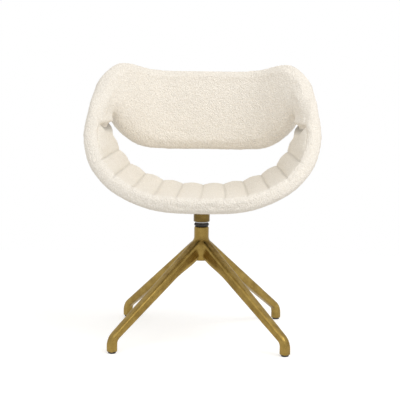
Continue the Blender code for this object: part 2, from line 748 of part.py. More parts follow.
def make_shell():
    right_front = channel_places()
    seat_places = right_front[::-1] + mirrored(right_front)[1:]
    back_right = [PAD_SPLIT * i / BACK_STEPS for i in range(BACK_STEPS + 1)]
    back_places = [-place for place in back_right[::-1]] + back_right[1:]
    loop_sections = [Section(place) for place in seat_places + back_places[1:-1]]

    loop_leans = [section.lean for section in loop_sections]
    core_rings = [core_ring(section) for section in loop_sections]
    cover_rings = [cover_ring(section) for section in loop_sections]
    core_mesh = loft_mesh("shell_core", core_rings, loop_leans, True)
    cover_mesh = loft_mesh("outer_cover", cover_rings, loop_leans, True)
    core = add_part("shell_core", core_mesh, moulded_shell, seat_body)
    cover = add_part("outer_cover", cover_mesh, boucle, seat_body)

    seat_sections = [Section(place) for place in seat_places]
    seat_rings = seat_pad_rings(seat_sections)
    seat_rings[0] = set_back(seat_rings[0], seat_rings[1])
    seat_rings[-1] = set_back(seat_rings[-1], seat_rings[-2])
    seat_leans = [section.lean for section in seat_sections]
    pad = add_part("seat_pad", loft_mesh("seat_pad", seat_rings, seat_leans, False), boucle_pad, seat_body)

    back_sections = [Section(place) for place in back_places]
    back_rings = []
    for i, section in enumerate(back_sections):
        middle = math.sin(math.pi * i / (len(back_sections) - 1))
        at_end = i in (0, len(back_sections) - 1)
        back_rings.append(pad_ring(section, BACK_CROWN * middle, -LIP if at_end else 0))
    back_rings[0] = set_back(back_rings[0], back_rings[1])
    back_rings[-1] = set_back(back_rings[-1], back_rings[-2])
    back_leans = [section.lean for section in back_sections]
    add_part("back_pad", loft_mesh("back_pad", back_rings, back_leans, False), boucle_back, seat_body)

    hole_bottom = cover_bottom - CUT_PAST
    block_rod = rod_profile(BLOCK_DIAMETER + 2 * GAP, seat_floor - hole_bottom)
    block_hole = add_cutter("block_hole", turned_mesh("block_hole", block_rod, BLOCK_SIDES), (0, 0, hole_bottom))
    combine(cover, block_hole, "DIFFERENCE")
    tee_holes = rods("tee_hole", TEE_BARREL_DIAMETER + 2 * GAP, core_bottom - CUT_PAST, core_top + CUT_PAST)
    combine(core, add_cutter("tee_holes", tee_holes), "DIFFERENCE")
    pocket_top = tee_top + BOLT_TIP + GAP
    tee_pockets = rods("tee_pocket", TEE_FLANGE_DIAMETER + 2 * GAP, core_top - CUT_PAST, pocket_top)
    combine(pad, add_cutter("tee_pockets", tee_pockets), "DIFFERENCE")


empty_scene()
parts = new_collection("swivel_chair")
cutters = new_collection("cutters")
base_body = bpy.data.objects.new("base_body", None)
seat_body = bpy.data.objects.new("seat_swivel_axis", None)
parts.objects.link(base_body)
parts.objects.link(seat_body)

brass = new_material("brushed_brass", (0.38, 0.27, 0.10), 0.34, 1.0)
steel = new_material("turned_steel", (0.45, 0.45, 0.46), 0.35, 1.0)
dark_steel = new_material("black_coated_steel", (0.03, 0.03, 0.03), 0.5, 0.6)
zinc = new_material("zinc_plated_steel", (0.55, 0.55, 0.56), 0.4, 1.0)
bronze = new_material("sintered_bronze", (0.35, 0.20, 0.08), 0.45, 1.0)
acetal = new_material("black_acetal", (0.03, 0.03, 0.03), 0.4, 0.0)
rubber = new_material("black_rubber", (0.02, 0.018, 0.016), 0.6, 0.0)
nylon = new_material("black_nylon", (0.02, 0.02, 0.02), 0.5, 0.0)
plywood = new_material("birch_plywood", (0.55, 0.38, 0.20), 0.6, 0.0)
moulded_shell = new_material("moulded_polypropylene", (0.05, 0.05, 0.05), 0.55, 0.0)
boucle = new_material("ivory_boucle_cover", (0.82, 0.77, 0.68), 0.95, 0.0)
boucle_pad = new_material("ivory_boucle_seat", (0.80, 0.75, 0.66), 0.95, 0.0)
boucle_back = new_material("ivory_boucle_back", (0.84, 0.79, 0.70), 0.95, 0.0)

make_star_base()
make_glides()
make_bearings()
make_spindle()
make_sleeve()
make_seat_plate()
make_fixings()
make_shell()
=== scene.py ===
"""Swivel armchair, dressed: boucle over the ring-shaped shell, a channelled seat and a brushed brass base.

Metres, +Z up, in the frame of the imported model. The sitter faces -Y.
"""
import json
import math

import bmesh
import bpy
import numpy as np
from mathutils import Matrix, Vector


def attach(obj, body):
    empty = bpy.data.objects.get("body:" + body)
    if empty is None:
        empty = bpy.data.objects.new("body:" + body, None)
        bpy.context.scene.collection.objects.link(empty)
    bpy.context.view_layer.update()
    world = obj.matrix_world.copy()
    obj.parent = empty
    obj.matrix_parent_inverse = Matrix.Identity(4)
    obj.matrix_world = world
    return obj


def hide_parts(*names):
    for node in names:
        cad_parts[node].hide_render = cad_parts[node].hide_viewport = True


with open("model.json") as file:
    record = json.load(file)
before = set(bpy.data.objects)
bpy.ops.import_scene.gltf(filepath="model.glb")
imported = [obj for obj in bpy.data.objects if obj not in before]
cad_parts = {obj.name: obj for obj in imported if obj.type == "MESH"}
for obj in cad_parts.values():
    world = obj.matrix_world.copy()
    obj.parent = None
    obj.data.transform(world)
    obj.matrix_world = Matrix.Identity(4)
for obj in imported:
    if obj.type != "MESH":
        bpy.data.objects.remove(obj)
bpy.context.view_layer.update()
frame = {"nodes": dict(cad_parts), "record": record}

scene = bpy.context.scene

# Boucle and foam
FOAM_GRAIN = 0.0052           # spacing of the remeshed skin
SEAT_GRAIN = 0.0046
CAGE_PULL = 0.9               # share of its shrinkage that a cage gets back in each round
FOAM_PRESSURE = 4.0
FOAM_FRAMES = 15
LEAST_HELD = 0.01             # share below which a point isn't held against the foam
SHELL_SWELL = 0.003           # furthest that the foam pushes the cover out
SEAT_SWELL = 0.005
CORE_LIFT = 0.0015            # how far the core is thickened, so that cover and core close up
NUB = 0.0048                  # spacing of the boucle's larger loops
NUB_HEIGHT = 0.0014
SEAT_NUB = NUB * 0.7          # the seat is covered in a finer boucle
SEAT_NUB_HEIGHT = NUB_HEIGHT * 0.6
TUFT = 2.2                    # spacing of the uneven tufts, in loops

# Seams
SEAM_WIDTH = 0.0029           # half width of a sewn channel's valley
SEAM_DEPTH = 0.0025
SEAM_RUN_OUT = 0.036          # how far a seam runs on over the front roll
SEAM_END = 0.028              # where it gets shallower before the roll
SEAM_END_SHARE = 0.35         # how deep it still is at the roll
SEAM_SPAN = 0.06              # furthest that a seam runs from its middle, seen from the front
SEAM_THREAD_AND_SHADE = 0.25              # how much of the painted fold shade a seam gets: partly its thread's colour, partly painted shade in its valley
RUN_OUT_STEEP = 1.3           # how steeply a seam dies out on the roll

# Where the wings turn out of the back, the foam fills the corner: its middle, its reach and the rounds of
# filling.
CORNER = (0.273, 0.090, 0.662)
CORNER_REACH = 0.100
CORNER_ROUNDS = 170

# The seat's ends tuck in under the lip of the back: a point of the joint and its normal, how far in and how
# far down the pocket goes, how soon it is at its full depth, and where it starts ahead of that point.
LIP = (0.2862, -0.0032, 0.6365)
LIP_NORMAL = (0.261, 0.067, 0.963)
LIP_REACH = 0.14              # how far about that point the arm's inside counts
TUCK_DEPTH = 0.006
TUCK_REACH = 0.040
TUCK_STEEP = 1.35
POCKET_FRONT = 0.036
POCKET_EASE = 0.035
SLOT_EDGE = 0.050             # where the arm turns into the slot, behind that point
SLOT_EASE = 0.020
LIP_SWELL = 0.004             # how far the lip rolls out over that pocket
LIP_RISE = 0.026
LIP_EASE = 0.040
ARM_FILL = 0.005              # how far the pad comes up to the roll below that, and how far down the arm
ARM_FILL_REACH = 0.110
ARM_FILL_STEEP = 2.5
ARM_HOLD_STEEP = 1.6          # how soon the foam stops pressing towards the arm's end
EDGE_PRESS = 0.003            # how far the pad's front edge presses into the roll
EDGE_STEEP = 2.0              # how soon a face counts as that edge as it turns forwards, and from where on
EDGE_START = 0.8
NEAR_STEEP = 1.5              # how soon a place counts in full within its reach
FACING_STEEP = 1.5            # how soon a face counts as the arm's inside as it turns inwards

# The seat's last panel runs up the arm without a seam: the middle of the fold that its foam fills, and the
# rounds of filling.
ARM_PANEL = (0.2816, -0.010, 0.5934)
ARM_PANEL_REACH = 0.125
ARM_PANEL_ROUNDS = 70

# Casting: the fillets that join neck and legs, about the middle of the hub, clear of the bearing's bore.
CAST_GRAIN = 0.0024
HUB = (0.0, 0.0, 0.266)
HUB_REACH = 0.100
HUB_ROUNDS = 200
# Under each leg a gusset runs out from the hub, so that the undersides meet in arches: how deep it is at the
# hub, where it starts and ends from the axis, and the leg's top line, height, half width and edge there.
GUSSET_DEPTH = 0.013
GUSSET_START, GUSSET_END = 0.0325, 0.115
GUSSET_EASE = 0.004
LEG_TOP, LEG_SLOPE = 0.3045, 0.741
LEG_HEIGHT, LEG_HALF_WIDTH = 0.0435, 0.018
LEG_EDGE = 0.006
BORE_RADIUS = 0.0208
BORE_WALL = 0.006

# Boucle's pattern: spacing of the yarn's wandering and how far it strays in loops, the yarn itself, the share
# of its fuzz in the relief, the spacing of the cloth's mottling, and the tone of the painted shade at the
# bottom of a fold.
LOOP_DRIFT = 0.011
LOOP_STRAY = 1.4
YARN = 0.0016
FUZZ = 0.35
MOTTLE = 0.045
PAINTED_FOLD_SHADE = 0.50

# Brass: the brush lines are about 0.3 mm apart, drawn at 1.2 mm so that they show. They run down the legs:
# the legs' fall over |x| + |y|, their lean over z, and the share by which the lines are drawn out.
BRUSH_LINE = 0.0012
BRUSH_RUN = 0.02
BRUSH_DEPTH = 0.0001
LEG_FALL = 0.53
LEG_LEAN = 0.75
BRASS_DRIFT = 0.03            # spacing of the darker drifts

GLOSS_DRIFT = 0.08            # how far the roughness of a grained finish varies
VENEER = 0.0028               # thickness of a plywood veneer
FIBRES = (20.0, 400.0, 400.0)  # fibres in a metre, along the grain and across it

# A solid's patches: points closer than this are one, edges that turn further than this stay sharp, and two
# triangles make a patch up to this turn between them and this skew.
MERGE = 0.00005
SHARP_TURN = math.radians(55)
PATCH_TURN = math.radians(80)
PATCH_SKEW = math.radians(120)

# Studio
FLOOR_HALF = 1.6
FLOOR_LIFT = 0.40             # how much of a white background the floor adds to its shading
SOFT_LIGHT = 0.68
LAMP_SIZE = 1.8
LAMP_AIM = (0, 0, 0.5)
LAMPS = (
    ("window", (2.13, -0.77, 2.81), 21.0),
    ("side", (1.45, -1.73, 2.81), 21.0),
    ("front", (-1.02, -2.20, 2.50), 15.0),
)

# The sewn channels of the seat, for the middle seam and those on the +X side: the middle of the seam, the
# normal of its plane, the bow of its ends and the point where it meets the front roll. Those on the -X side
# mirror them.
SEAMS = (
    ((0.0000, -0.033, 0.4375), (1.000, 0.000, 0.000), 0.0000, (0.000, -0.262, 0.439)),
    ((0.0680, -0.034, 0.4375), (1.000, 0.006, 0.000), 0.0031, (0.066, -0.259, 0.440)),
    ((0.1311, -0.037, 0.4388), (0.982, 0.008, 0.187), 0.0027, (0.128, -0.250, 0.448)),
    ((0.1863, -0.040, 0.4628), (0.901, 0.006, 0.434), 0.0003, (0.185, -0.234, 0.467)),
    ((0.2335, -0.040, 0.4972), (0.753, 0.003, 0.658), 0.0004, (0.235, -0.207, 0.495)),
    ((0.2660, -0.033, 0.5431), (0.564, -0.003, 0.826), 0.0003, (0.274, -0.163, 0.536)),
)
MIRROR = np.array((-1, 1, 1))


def linear(hex_colour):
    """Linear RGBA of an sRGB hex colour."""
    parts = [int(hex_colour[i:i + 2], 16) / 255 for i in (1, 3, 5)]
    return (*[c / 12.92 if c <= 0.04045 else ((c + 0.055) / 1.055) ** 2.4 for c in parts], 1.0)


def add(tree, kind, inputs=None, **settings):
    """A node with its settings. Each input is a value or another node's output to link."""
    made = tree.nodes.new(kind)
    for name, value in settings.items():
        setattr(made, name, value)
    for key, value in (inputs or {}).items():
        if isinstance(value, bpy.types.NodeSocket):
            tree.links.new(value, made.inputs[key])
        else:
            made.inputs[key].default_value = value
    return made


def new_finish(name):
    finish = bpy.data.materials.new(name)
    finish.use_nodes = True
    finish.node_tree.nodes.clear()
    return finish, finish.node_tree


def close_finish(tree, shader):
    add(tree, "ShaderNodeOutputMaterial", {"Surface": shader.outputs[0]})


# Materials

def looped_boucle(name, loop, pale, painted_gap_shade, bump):
    """Wool boucle, woven from looped yarn: round nubs with painted shade in the gaps between them and a soft
    pale bloom.
    """
    finish, tree = new_finish(name)
    place = add(tree, "ShaderNodeTexCoord").outputs["Object"]
    drift = add(tree, "ShaderNodeTexNoise", {"Vector": place, "Scale": 1 / LOOP_DRIFT, "Detail": 2.0})
    shift = add(tree, "ShaderNodeVectorMath", {0: drift.outputs["Color"], 1: (0.5, 0.5, 0.5)},
                operation="SUBTRACT")
    wander = add(tree, "ShaderNodeVectorMath", {0: shift.outputs[0], "Scale": loop * LOOP_STRAY},
                 operation="SCALE")
    strayed = add(tree, "ShaderNodeVectorMath", {0: place, 1: wander.outputs[0]}, operation="ADD")
    loops = add(tree, "ShaderNodeTexVoronoi",
                {"Vector": strayed.outputs[0], "Scale": 1 / loop, "Smoothness": 0.35}, feature="SMOOTH_F1")
    height = add(tree, "ShaderNodeMapRange",
                 {"Value": loops.outputs["Distance"], "From Min": 0.05, "From Max": 0.75, "To Min": 1.0,
                  "To Max": 0.0})
    yarn = add(tree, "ShaderNodeTexNoise",
               {"Vector": place, "Scale": 1 / YARN, "Detail": 3.0, "Roughness": 0.6})
    fuzz = add(tree, "ShaderNodeMath", {0: yarn.outputs["Fac"], 1: FUZZ}, operation="MULTIPLY")
    relief = add(tree, "ShaderNodeMath", {0: height.outputs[0], 1: fuzz.outputs[0]}, operation="ADD")
    # The gaps between the loops are painted darker than their tops: painted shade, not the yarn's own colour.
    tone = add(tree, "ShaderNodeMix", {"Factor": height.outputs[0], "A": linear(painted_gap_shade), "B": linear(pale)},
               data_type="RGBA")
    mottle = add(tree, "ShaderNodeTexNoise", {"Vector": place, "Scale": 1 / MOTTLE, "Detail": 2.0})
    mottled = add(tree, "ShaderNodeMapRange",
                  {"Value": mottle.outputs["Fac"], "To Min": 0.97, "To Max": 1.03})
    colour = add(tree, "ShaderNodeVectorMath", {0: tone.outputs["Result"], "Scale": mottled.outputs[0]},
                 operation="SCALE")
    # The mesh's seam value darkens the seams and the pocket under the lip: painted shade, with a seam's
    # thread colour in it too.
    sewn = add(tree, "ShaderNodeAttribute", attribute_name="seam")
    fold_shade_factor = add(tree, "ShaderNodeMapRange",
                 {"Value": sewn.outputs["Fac"], "To Min": 1.0, "To Max": PAINTED_FOLD_SHADE})
    fold_shaded_colour = add(tree, "ShaderNodeVectorMath", {0: colour.outputs[0], "Scale": fold_shade_factor.outputs[0]},
                   operation="SCALE")
    bumps = add(tree, "ShaderNodeBump", {"Height": relief.outputs[0], "Distance": bump, "Strength": 0.8})
    shader = add(tree, "ShaderNodeBsdfPrincipled",
                 {"Base Color": fold_shaded_colour.outputs[0], "Roughness": 0.95, "Sheen Weight": 0.15,
                  "Sheen Roughness": 0.5, "Sheen Tint": linear("#fff8ea"), "Specular IOR Level": 0.2,
                  "Normal": bumps.outputs[0]})
    close_finish(tree, shader)
    return finish


def brushed_brass(name, dark, pale):
    """Cast brass, ground and brushed along the legs: satin, with fine streaks and darker drifts."""
    finish, tree = new_finish(name)
    place = add(tree, "ShaderNodeTexCoord").outputs["Object"]
    axes = add(tree, "ShaderNodeSeparateXYZ", {0: place})
    wide = add(tree, "ShaderNodeMath", {0: axes.outputs["X"]}, operation="ABSOLUTE")
    deep = add(tree, "ShaderNodeMath", {0: axes.outputs["Y"]}, operation="ABSOLUTE")
    across = add(tree, "ShaderNodeMath", {0: wide.outputs[0], 1: deep.outputs[0]}, operation="SUBTRACT")
    out = add(tree, "ShaderNodeMath", {0: wide.outputs[0], 1: deep.outputs[0]}, operation="ADD")
    fall = add(tree, "ShaderNodeMath", {0: out.outputs[0], 1: LEG_FALL, 2: axes.outputs["Z"]},
               operation="MULTIPLY_ADD")
    along = add(tree, "ShaderNodeMath", {0: axes.outputs["Z"], 1: -LEG_LEAN, 2: out.outputs[0]},
                operation="MULTIPLY_ADD")
    run = add(tree, "ShaderNodeMath", {0: along.outputs[0], 1: BRUSH_RUN}, operation="MULTIPLY")
    streaked = add(tree, "ShaderNodeCombineXYZ",
                   {0: across.outputs[0], 1: fall.outputs[0], 2: run.outputs[0]})
    lines = add(tree, "ShaderNodeTexNoise",
                {"Vector": streaked.outputs[0], "Scale": 1 / BRUSH_LINE, "Detail": 3.0})
    drifts = add(tree, "ShaderNodeTexNoise",
                 {"Vector": place, "Scale": 1 / BRASS_DRIFT, "Detail": 3.0, "Roughness": 0.6})
    age = add(tree, "ShaderNodeMapRange", {"Value": drifts.outputs["Fac"], "From Min": 0.3, "From Max": 0.7})
    tone = add(tree, "ShaderNodeMix", {"Factor": age.outputs[0], "A": linear(dark), "B": linear(pale)},
               data_type="RGBA")
    streak = add(tree, "ShaderNodeMapRange", {"Value": lines.outputs["Fac"], "From Min": 0.3, "From Max": 0.7,
                                              "To Min": 0.9, "To Max": 1.1})
    colour = add(tree, "ShaderNodeVectorMath", {0: tone.outputs["Result"], "Scale": streak.outputs[0]},
                 operation="SCALE")
    satin = add(tree, "ShaderNodeMapRange", {"Value": lines.outputs["Fac"], "From Min": 0.3, "From Max": 0.7,
                                             "To Min": 0.24, "To Max": 0.40})
    scratch = add(tree, "ShaderNodeBump",
                  {"Height": lines.outputs["Fac"], "Distance": BRUSH_DEPTH, "Strength": 0.5})
    shader = add(tree, "ShaderNodeBsdfPrincipled",
                 {"Base Color": colour.outputs[0], "Metallic": 1.0, "Roughness": satin.outputs[0],
                  "Normal": scratch.outputs[0]})
    close_finish(tree, shader)
    return finish


def grained(name, dark, pale, grain, roughness, metallic, bump):
    """A plain finish with a fine grain: its tone, gloss and surface vary a little from place to place."""
    finish, tree = new_finish(name)
    place = add(tree, "ShaderNodeTexCoord").outputs["Object"]
    speckle = add(tree, "ShaderNodeTexNoise",
                  {"Vector": place, "Scale": 1 / grain, "Detail": 4.0, "Roughness": 0.6})
    tone = add(tree, "ShaderNodeMix",
               {"Factor": speckle.outputs["Fac"], "A": linear(dark), "B": linear(pale)}, data_type="RGBA")
    gloss = add(tree, "ShaderNodeMapRange",
                {"Value": speckle.outputs["Fac"], "To Min": roughness - GLOSS_DRIFT,
                 "To Max": roughness + GLOSS_DRIFT})
    bumps = add(tree, "ShaderNodeBump", {"Height": speckle.outputs["Fac"], "Distance": bump, "Strength": 0.6})
    shader = add(tree, "ShaderNodeBsdfPrincipled",
                 {"Base Color": tone.outputs["Result"], "Roughness": gloss.outputs[0], "Metallic": metallic,
                  "Normal": bumps.outputs[0]})
    close_finish(tree, shader)
    return finish


def birch_plywood():
    """Birch plywood block: thin veneers, pale and tan by turns, with a faint long grain."""
    finish, tree = new_finish("birch_plywood")
    place = add(tree, "ShaderNodeTexCoord").outputs["Object"]
    veneers = add(tree, "ShaderNodeTexWave",
                  {"Vector": place, "Scale": 1 / VENEER / (2 * math.pi), "Distortion": 0.3},
                  bands_direction="Z")
    stretched = add(tree, "ShaderNodeMapping", {"Vector": place, "Scale": FIBRES})
    fibre = add(tree, "ShaderNodeTexNoise", {"Vector": stretched.outputs[0], "Scale": 1.0, "Detail": 3.0})
    mixed = add(tree, "ShaderNodeMath", {0: veneers.outputs["Fac"], 1: fibre.outputs["Fac"]},
                operation="MULTIPLY")
    tone = add(tree, "ShaderNodeMix",
               {"Factor": mixed.outputs[0], "A": linear("#a97f4d"), "B": linear("#d9b98a")}, data_type="RGBA")
    bumps = add(tree, "ShaderNodeBump", {"Height": fibre.outputs["Fac"], "Distance": 0.0002, "Strength": 0.4})
    shader = add(tree, "ShaderNodeBsdfPrincipled",
                 {"Base Color": tone.outputs["Result"], "Roughness": 0.65, "Normal": bumps.outputs[0]})
    close_finish(tree, shader)
    return finish


# The second colour of each boucle is the painted shade between its loops.
boucle = looped_boucle("wool_boucle", 0.0044, "#fbf5eb", "#ece4d7", 0.0022)
fine_boucle = looped_boucle("fine_wool_boucle", 0.0036, "#fbf5eb", "#eae2d4", 0.0018)
brass = brushed_brass("brushed_brass", "#826a36", "#a1884b")
# The sleeve is given a darker brass: painted shade, for the shade that the seat casts on it.
shaded_sleeve_brass = brushed_brass("sleeve_brass_with_painted_shade", "#5d4a24", "#7d683a")
finishes = {
    "brushed_brass": brass,
    # Ground steel shaft, bright grey with a faint oily tone.
    "turned_steel": grained("turned_steel", "#8f8f90", "#bdbdbd", 0.004, 0.34, 1.0, 0.00005),
    # Powder coat: black with an orange-peel grain of about a millimetre.
    "black_coated_steel": grained("black_powder_coat", "#141414", "#242424", 0.0012, 0.5, 0.0, 0.0001),
    # Zinc plate: pale grey with a cloudy spangle.
    "zinc_plated_steel": grained("zinc_plate", "#9a9b9d", "#cfd0d2", 0.003, 0.38, 1.0, 0.00005),
    # Sintered bronze: a dull brown metal with open pores.
    "sintered_bronze": grained("sintered_bronze", "#6b4a26", "#94703f", 0.0008, 0.5, 1.0, 0.0001),
    # Acetal: a slightly waxy black plastic.
    "black_acetal": grained("black_acetal", "#151515", "#202020", 0.002, 0.42, 0.0, 0.00005),
    # Rubber seal: matt black with a bloom.
    "black_rubber": grained("black_rubber", "#1b1917", "#2f2c29", 0.0015, 0.6, 0.0, 0.0001),
    # Nylon glide: moulded black plastic with a spark-eroded grain.
    "black_nylon": grained("black_nylon", "#171614", "#2a2825", 0.001, 0.55, 0.0, 0.0001),
    "birch_plywood": birch_plywood(),
    # Moulded polypropylene: grey-black with a fine grain.
    "moulded_polypropylene": grained("moulded_polypropylene", "#2a2a2b", "#3a3a3b", 0.0015, 0.55, 0.0,
                                     0.0001),
}


# Making pieces

def add_piece(name, mesh, body, finish, slot, *nodes):
    piece = bpy.data.objects.new(name, mesh)
    scene.collection.objects.link(piece)
    mesh.materials.clear()
    mesh.materials.append(finish)
    mesh.shade_smooth()
    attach(piece, body)
    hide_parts(*nodes)
    return piece


def settled(mesh, *steps):
    """The mesh after a row of modifiers, each given as its kind and settings."""
    holder = bpy.data.objects.new("holder", mesh)
    scene.collection.objects.link(holder)
    for kind, settings in steps:
        step = holder.modifiers.new(kind, kind)
        for name, value in settings.items():
            setattr(step, name, value)
    made = bpy.data.meshes.new_from_object(holder.evaluated_get(bpy.context.evaluated_depsgraph_get()))
    bpy.data.objects.remove(holder)
    return made


def points_of(mesh):
    flat = np.empty(len(mesh.vertices) * 3)
    mesh.vertices.foreach_get("co", flat)
    return flat.reshape(-1, 3)


def set_points(mesh, points):
    mesh.vertices.foreach_set("co", points.ravel())
    mesh.update()


def solid_cage(node):
    """A CAD solid's mesh with its patches four-sided again and its corners held sharp."""
    bm = bmesh.new()
    bm.from_mesh(frame["nodes"][node].data)
    bmesh.ops.remove_doubles(bm, verts=bm.verts, dist=MERGE)
    bmesh.ops.join_triangles(bm, faces=bm.faces, angle_face_threshold=PATCH_TURN,
                             angle_shape_threshold=PATCH_SKEW)
    crease = bm.edges.layers.float.new("crease_edge")
    for edge in bm.edges:
        if edge.calc_face_angle(0) > SHARP_TURN:
            edge[crease] = 1.0
    mesh = bpy.data.meshes.new(node + "_cage")
    bm.to_mesh(mesh)
    bm.free()
    return mesh


def rounded(cage):
    """Subdivided skin that runs through the cage's own points."""
    aim = points_of(cage)
    step = ("SUBSURF", {"levels": 2, "render_levels": 2})
    for _ in range(2):
        skin = settled(cage, step)
        set_points(cage, points_of(cage) + CAGE_PULL * (aim - points_of(skin)[:len(aim)]))
    return settled(cage, step)


def joined(meshes):
    bm = bmesh.new()
    for mesh in meshes:
        bm.from_mesh(mesh)
    made = bpy.data.meshes.new("joined")
    bm.to_mesh(made)
    bm.free()
    return made


def outer_skin(mesh):
    """Leave only the largest closed surface of a mesh, without the bubbles inside it."""
    bm = bmesh.new()
    bm.from_mesh(mesh)
    left, islands = set(bm.verts), []
    while left:
        found = {left.pop()}
        front = list(found)
        while front:
            near = [e.other_vert(v) for v in front for e in v.link_edges]
            front = [v for v in set(near) if v not in found]
            found.update(front)
        left -= found
        islands.append(found)
    islands.sort(key=len)
    for bubble in islands[:-1]:
        bmesh.ops.delete(bm, geom=list(bubble), context="VERTS")
    bm.to_mesh(mesh)
    bm.free()


def padded_out(mesh, cap, held):
    """Foam presses on the cover from inside, by cloth simulation. No point moves past the cap."""
    start = points_of(mesh)
    cover = bpy.data.objects.new("cover", mesh)
    scene.collection.objects.link(cover)
    sewn = cover.vertex_groups.new(name="sewn")
    for index in np.flatnonzero(held > LEAST_HELD):
        sewn.add([int(index)], float(held[index]), "REPLACE")
    foam = cover.modifiers.new("foam", "CLOTH")
    foam.settings.use_pressure = True
    foam.settings.uniform_pressure_force = FOAM_PRESSURE
    foam.settings.effector_weights.gravity = 0
    foam.settings.vertex_group_mass = "sewn"
    foam.point_cache.frame_end = FOAM_FRAMES
    for time in range(1, FOAM_FRAMES + 1):
        scene.frame_set(time)
    blown = bpy.data.meshes.new_from_object(cover.evaluated_get(bpy.context.evaluated_depsgraph_get()))
    move = points_of(blown) - start
    length = np.linalg.norm(move, axis=1, keepdims=True)
    set_points(mesh, start + move * np.minimum(1, cap / np.maximum(length, 1e-9)))
    bpy.data.objects.remove(cover)
    bpy.data.meshes.remove(blown)
    scene.frame_set(1)


def nubbed(mesh, nub, height):
    """One subdivision, then the boucle's loops as small round rises."""
    loops = bpy.data.textures.new("loops", "VORONOI")
    loops.noise_scale = nub
    loops.noise_intensity = 1.0
    tufts = bpy.data.textures.new("tufts", "CLOUDS")
    tufts.noise_scale = nub * TUFT
    tufts.noise_depth = 1
    return settled(
        mesh,
        ("SUBSURF", {"levels": 1, "render_levels": 1}),
        ("DISPLACE", {"texture": loops, "texture_coords": "LOCAL", "strength": -height, "mid_level": 0.4}),
        ("DISPLACE", {"texture": tufts, "texture_coords": "LOCAL", "strength": height, "mid_level": 0.5}),
    )


def normals_of(mesh):
    flat = np.empty(len(mesh.vertices) * 3)
    mesh.vertices.foreach_get("normal", flat)
    return flat.reshape(-1, 3)


def fill_hollows(mesh, share, rounds):
    """Points in a hollow rise until it is gone, by the share that each may move."""
    points = points_of(mesh)
    ends = np.empty(len(mesh.edges) * 2, int)
    mesh.edges.foreach_get("vertices", ends)
    ends = np.concatenate((ends.reshape(-1, 2), ends.reshape(-1, 2)[:, ::-1]))
    ends = ends[share[ends[:, 0]] > 0]
    moved, slot = np.unique(ends[:, 0], return_inverse=True)
    count = np.bincount(slot)[:, None]
    for _ in range(rounds):
        total = np.stack([np.bincount(slot, points[ends[:, 1], i]) for i in range(3)], axis=1)
        normals = normals_of(mesh)[moved]
        rise = np.sum((total / count - points[moved]) * normals, axis=1, keepdims=True)
        points[moved] += normals * np.maximum(0, rise) * share[moved, None]
        set_points(mesh, points)


def nearness(points, middle, reach):
    """1 about a place and its mirror image, falling to 0 at its reach."""
    middle = np.array(middle)
    apart = np.minimum(np.linalg.norm(points - middle, axis=1),
                       np.linalg.norm(points - middle * MIRROR, axis=1))
    return np.clip(NEAR_STEEP * (1 - apart / reach), 0, 1)


def lip_places(mesh):
    """How far each point lies above and behind the joint under the lip, and its share in the arm's inside."""
    points, normals = points_of(mesh), normals_of(mesh)
    side = np.sign(points[:, :1])
    off = points * np.hstack((side, np.ones((len(points), 2)))) - LIP
    inside = np.clip(-FACING_STEEP * normals[:, 0] * side[:, 0], 0, 1)
    inside *= np.linalg.norm(off, axis=1) < LIP_REACH
    return off @ np.array(LIP_NORMAL), off[:, 1], inside


def eased(share):
    """A share from 0 to 1 with soft ends."""
    share = np.clip(share, 0, 1)
    return share * share * (3 - 2 * share)


def pocket_share(above, behind):
    """1 in the pocket under the lip, which is open to the slot and closes towards the roll."""
    return eased(TUCK_STEEP * (1 + above / TUCK_REACH)) * eased((behind + POCKET_FRONT) / POCKET_EASE)


def shape_arm_ends(mesh):
    """Draw the seat's two ends in under the lip of the back, and press their front edges against the roll."""
    above, behind, inside = lip_places(mesh)
    fill = ARM_FILL * eased(ARM_FILL_STEEP * (1 + above / ARM_FILL_REACH))
    fill *= eased(-above / TUCK_REACH) * eased(-behind / POCKET_EASE)
    tuck = TUCK_DEPTH * pocket_share(above, behind) * eased((SLOT_EDGE - behind) / SLOT_EASE)
    normals = normals_of(mesh)
    pressed = EDGE_PRESS * np.clip(-EDGE_STEEP * normals[:, 1] - EDGE_START, 0, 1)
    set_points(mesh, points_of(mesh) + normals * ((fill - tuck) * inside + pressed)[:, None])


def roll_lip(mesh):
    """Swell the lower end of each wing into a round lip over the pocket."""
    above, behind, inside = lip_places(mesh)
    move = LIP_SWELL * eased(1 - np.abs(above) / LIP_RISE) * eased((SLOT_EDGE - behind) / LIP_EASE) * inside
    set_points(mesh, points_of(mesh) + normals_of(mesh) * move[:, None])


def seam_lines():
    """Each seam's middle, unit normal, bow and front end, on both sides of the chair."""
    for middle, normal, bow, front in SEAMS:
        middle, normal, front = np.array(middle), np.array(normal) / np.linalg.norm(normal), np.array(front)
        yield middle, normal, bow, front
        if middle[0]:
            yield middle * MIRROR, normal * MIRROR, bow, front * MIRROR


def seam_closeness(points, run_out):
    """1 in a seam's valley, falling to 0 beside it. With a run-out, only the seam's front end counts."""
    close = np.zeros(len(points))
    for middle, normal, bow, front in seam_lines():
        off = points - middle
        ahead = off[:, 1] / (front[1] - middle[1])
        apart = off @ normal + bow * ahead ** 2
        valley = np.exp(-(apart / SEAM_WIDTH) ** 2)
        beside = off - np.outer(off @ normal, normal)
        valley[np.linalg.norm(beside[:, (0, 2)], axis=1) > SEAM_SPAN] = 0
        to_front = np.linalg.norm(points - front, axis=1)
        if run_out:
            valley *= np.clip(RUN_OUT_STEEP * (1 - to_front / run_out), 0, 1)
        else:
            valley *= SEAM_END_SHARE + (1 - SEAM_END_SHARE) * eased(to_front / SEAM_END)
        close = np.maximum(close, valley)
    return close


